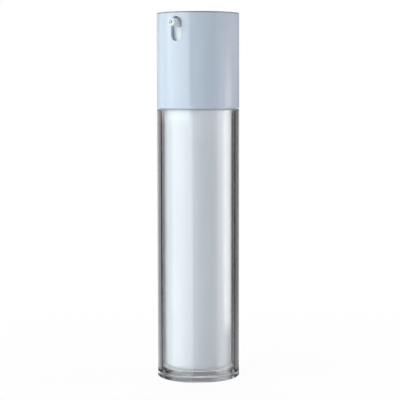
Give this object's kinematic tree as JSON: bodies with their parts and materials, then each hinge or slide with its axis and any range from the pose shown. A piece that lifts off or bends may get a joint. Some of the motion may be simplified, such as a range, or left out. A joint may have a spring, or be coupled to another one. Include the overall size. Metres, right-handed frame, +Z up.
{
  "type": "airless pump bottle",
  "caption": "Slim round airless pump bottle: clear outer tube over a white inner bottle, white swivelling head with a push button and a short side nozzle in a slot.",
  "frame": {"origin": "centre of the flat face that the bottle stands on", "axes": "+Z up along the bottle's axis, towards the button; -Y is the way the nozzle points"},
  "size_m": [0.035, 0.0389, 0.155],
  "materials": {
    "white_shell": "smooth glossy moulded plastic, cool white with a blue cast",
    "white_bottle": "smooth opaque white moulded plastic",
    "clear_acrylic": "polished clear acrylic",
    "natural_pp": "natural polypropylene",
    "soft_pe": "soft polyethylene",
    "steel_wire": "drawn stainless steel"
  },
  "bodies": {
    "bottle": {"base_plug": "clear_acrylic", "outer_tube": "clear_acrylic", "inner_bottle": "white_bottle", "shoulder_collar": "natural_pp", "bottle_gasket": "soft_pe", "pump_housing": "natural_pp", "pump_closure": "natural_pp", "ball_cage": "natural_pp", "stem_guide": "natural_pp", "stem_wiper": "soft_pe", "return_spring": "steel_wire"},
    "head": {"sleeve": "white_shell", "sleeve_liner": "natural_pp"},
    "button": {"button_cap": "white_bottle", "button_core": "natural_pp", "nozzle": "white_bottle", "stem": "natural_pp", "stem_tip": "natural_pp"},
    "piston_seal": {"piston_seal": "soft_pe"},
    "inlet_ball": {"valve_ball": "steel_wire"},
    "follower": {"follower_piston": "soft_pe"}
  },
  "joints": [
    {"name": "head_swivel", "type": "hinge", "parent": "bottle", "child": "head", "pos_m": [0, 0, 0.13], "axis": [0, 0, 1], "continuous": true},
    {"name": "button_press", "type": "slide", "parent": "head", "child": "button", "axis": [0, 0, -1], "range_m": [0, 0.0052], "stiffness_N_per_m": 1200, "springref_m": -0.001, "deforming": ["return_spring"]},
    {"name": "piston_travel", "type": "slide", "parent": "bottle", "child": "piston_seal", "axis": [0, 0, -1], "range_m": [0, 0.0045]},
    {"name": "inlet_ball_lift", "type": "slide", "parent": "bottle", "child": "inlet_ball", "axis": [0, 0, 1], "range_m": [0, 0.0008]},
    {"name": "follower_rise", "type": "slide", "parent": "bottle", "child": "follower", "axis": [0, 0, 1], "range_m": [0, 0.096]}
  ],
  "couplings": [
    {"joint": "piston_travel", "follows": "button_press", "ratio": 0.865}
  ]
}
